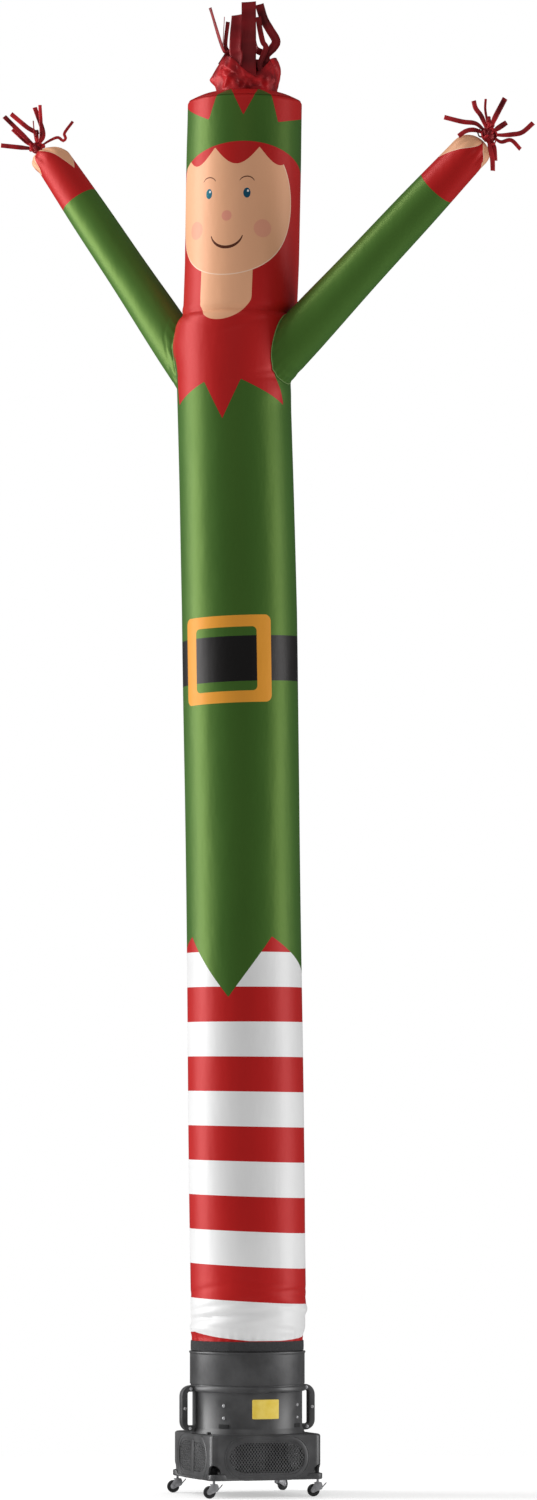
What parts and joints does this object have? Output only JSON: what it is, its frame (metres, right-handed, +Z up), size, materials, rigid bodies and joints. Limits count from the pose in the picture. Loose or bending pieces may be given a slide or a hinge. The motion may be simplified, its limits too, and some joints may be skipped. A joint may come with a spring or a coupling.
{
  "type": "inflatable air dancer on a blower",
  "caption": "Inflatable tube dancer with two raised arms, streamers at the hands and crown, and its square blower with carrying handles and braked swivel casters.",
  "frame": {"origin": "on the floor under the middle of the whole model's bounding box", "axes": "+Z up, -Y the way the dancer's printed front faces, +X towards the right arm as seen from the front"},
  "size_m": [2.2956, 0.6925, 5.9466],
  "materials": {
    "nylon_print": "satin printed nylon",
    "satin": "satin nylon ribbon",
    "webbing": "woven webbing",
    "housing": "fine grained moulding",
    "knob": "fine grained moulding",
    "label": "bare film",
    "fasteners": "zinc plated",
    "caster_steel": "zinc plated",
    "motor": "satin paint",
    "tyre": "matte"
  },
  "bodies": {
    "dancer": {"body_tube": "nylon_print", "arm_left": "nylon_print", "arm_right": "nylon_print", "head_cap": "nylon_print", "crown_spout": "satin", "crown_streamers": "satin", "hand_streamers_left": "satin", "hand_streamers_right": "satin", "cinch_strap": "webbing", "outlet_collar": "housing", "blower_box": "housing", "base_tray": "housing", "grille_front": "housing", "grille_right": "housing", "grille_back": "housing", "grille_left": "housing", "handle_left": "housing", "handle_right": "housing", "label_plate": "label", "fan_motor": "motor", "top_knob": "knob", "barrel_bolt_00": "fasteners", "barrel_bolt_01": "fasteners", "barrel_bolt_10": "fasteners", "barrel_bolt_11": "fasteners", "barrel_bolt_20": "fasteners", "barrel_bolt_21": "fasteners", "barrel_bolt_30": "fasteners", "barrel_bolt_31": "fasteners", "handle_bolt_left_0": "fasteners", "handle_bolt_left_1": "fasteners", "handle_bolt_left_2": "fasteners", "handle_bolt_right_0": "fasteners", "handle_bolt_right_1": "fasteners", "handle_bolt_right_2": "fasteners", "corner_nut_front_left": "fasteners", "corner_nut_front_right": "fasteners", "corner_nut_back_left": "fasteners", "corner_nut_back_right": "fasteners"},
    "caster_front_left": {"fork_front_left": "caster_steel"},
    "wheel_front_left": {"wheel_front_left": "tyre"},
    "pedal_front_left": {"brake_pedal_front_left": "caster_steel"},
    "caster_front_right": {"fork_front_right": "caster_steel"},
    "wheel_front_right": {"wheel_front_right": "tyre"},
    "pedal_front_right": {"brake_pedal_front_right": "caster_steel"},
    "caster_back_left": {"fork_back_left": "caster_steel"},
    "wheel_back_left": {"wheel_back_left": "tyre"},
    "pedal_back_left": {"brake_pedal_back_left": "caster_steel"},
    "caster_back_right": {"fork_back_right": "caster_steel"},
    "wheel_back_right": {"wheel_back_right": "tyre"},
    "pedal_back_right": {"brake_pedal_back_right": "caster_steel"}
  },
  "joints": [
    {"name": "swivel_front_left", "type": "hinge", "parent": "dancer", "child": "caster_front_left", "pos_m": [-0.12503, -0.32102, 0.0545], "axis": [0, 0, 1], "continuous": true},
    {"name": "roll_front_left", "type": "hinge", "parent": "caster_front_left", "child": "wheel_front_left", "pos_m": [-0.14166, -0.32455, 0.0245], "axis": [-0.2079, 0.9781, 0], "continuous": true},
    {"name": "brake_front_left", "type": "hinge", "parent": "caster_front_left", "child": "pedal_front_left", "pos_m": [-0.11036, -0.3179, 0.033], "axis": [-0.2079, 0.9781, 0], "range_deg": [-25, 0]},
    {"name": "swivel_front_right", "type": "hinge", "parent": "dancer", "child": "caster_front_right", "pos_m": [0.24302, -0.09103, 0.0545], "axis": [0, 0, 1], "continuous": true},
    {"name": "roll_front_right", "type": "hinge", "parent": "caster_front_right", "child": "wheel_front_right", "pos_m": [0.22639, -0.09457, 0.0245], "axis": [-0.2079, 0.9781, 0], "continuous": true},
    {"name": "brake_front_right", "type": "hinge", "parent": "caster_front_right", "child": "pedal_front_right", "pos_m": [0.25769, -0.08792, 0.033], "axis": [-0.2079, 0.9781, 0], "range_deg": [-25, 0]},
    {"name": "swivel_back_left", "type": "hinge", "parent": "dancer", "child": "caster_back_left", "pos_m": [-0.35502, 0.04703, 0.0545], "axis": [0, 0, 1], "continuous": true},
    {"name": "roll_back_left", "type": "hinge", "parent": "caster_back_left", "child": "wheel_back_left", "pos_m": [-0.37165, 0.0435, 0.0245], "axis": [-0.2079, 0.9781, 0], "continuous": true},
    {"name": "brake_back_left", "type": "hinge", "parent": "caster_back_left", "child": "pedal_back_left", "pos_m": [-0.34035, 0.05015, 0.033], "axis": [-0.2079, 0.9781, 0], "range_deg": [-25, 0]},
    {"name": "swivel_back_right", "type": "hinge", "parent": "dancer", "child": "caster_back_right", "pos_m": [0.01303, 0.27702, 0.0545], "axis": [0, 0, 1], "continuous": true},
    {"name": "roll_back_right", "type": "hinge", "parent": "caster_back_right", "child": "wheel_back_right", "pos_m": [0.02101, 0.29203, 0.0245], "axis": [0.8829, -0.4695, 0], "continuous": true},
    {"name": "brake_back_right", "type": "hinge", "parent": "caster_back_right", "child": "pedal_back_right", "pos_m": [0.00599, 0.26377, 0.033], "axis": [0.8829, -0.4695, 0], "range_deg": [-25, 0]}
  ]
}
